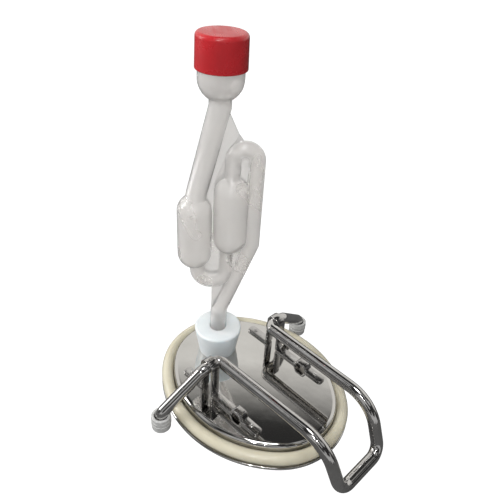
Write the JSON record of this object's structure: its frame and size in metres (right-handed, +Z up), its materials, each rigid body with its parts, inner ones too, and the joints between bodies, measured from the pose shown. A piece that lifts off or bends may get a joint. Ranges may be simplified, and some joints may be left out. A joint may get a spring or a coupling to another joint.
{
  "type": "keg lid with airlock",
  "caption": "Oval pressed-steel keg lid with gasket and wire bail clamp, fitted with a tapered bored stopper and an S-shaped bubble airlock with a push-on cap.",
  "frame": {"origin": "middle of the oval lid, on the underside of its flange", "axes": "+X from the lid's middle towards the bail's grip, +Z up out of the keg, +Y across the lid by the right-hand rule"},
  "size_m": [0.1346, 0.1182, 0.1868],
  "materials": {
    "polished_steel": "mirror-polished stainless sheet",
    "bright_wire": "polished round wire",
    "gasket_rubber": "smooth, slightly glossy cream rubber",
    "foot_plastic": "light grey translucent, satin",
    "silicone": "milky white silicone, satin",
    "clear_plastic": "clear, slightly grey moulded plastic",
    "red_plastic": "smooth, semi-gloss"
  },
  "bodies": {
    "lid": {"lid_shell": "polished_steel", "gasket_ring": "gasket_rubber", "bracket_left": "polished_steel", "bracket_right": "polished_steel"},
    "bail": {"bail_wire": "bright_wire", "foot_cap_left": "foot_plastic", "foot_cap_right": "foot_plastic"},
    "stopper": {"stopper": "silicone"},
    "airlock": {"airlock_body": "clear_plastic"},
    "cap": {"airlock_cap": "red_plastic"}
  },
  "joints": [
    {"name": "bail_hinge", "type": "hinge", "parent": "lid", "child": "bail", "pos_m": [-0.0082, 0, 0.0291], "axis": [0, -1, 0], "range_deg": [0, 90]},
    {"name": "stopper_pull", "type": "slide", "parent": "lid", "child": "stopper", "axis": [0, 0, 1], "range_m": [0, 0.03]},
    {"name": "airlock_swivel", "type": "hinge", "parent": "stopper", "child": "airlock", "pos_m": [-0.03, 0, 0.02], "axis": [0, 0, 1], "continuous": true},
    {"name": "cap_lift", "type": "slide", "parent": "airlock", "child": "cap", "axis": [0, 0, 1], "range_m": [0, 0.02]}
  ]
}
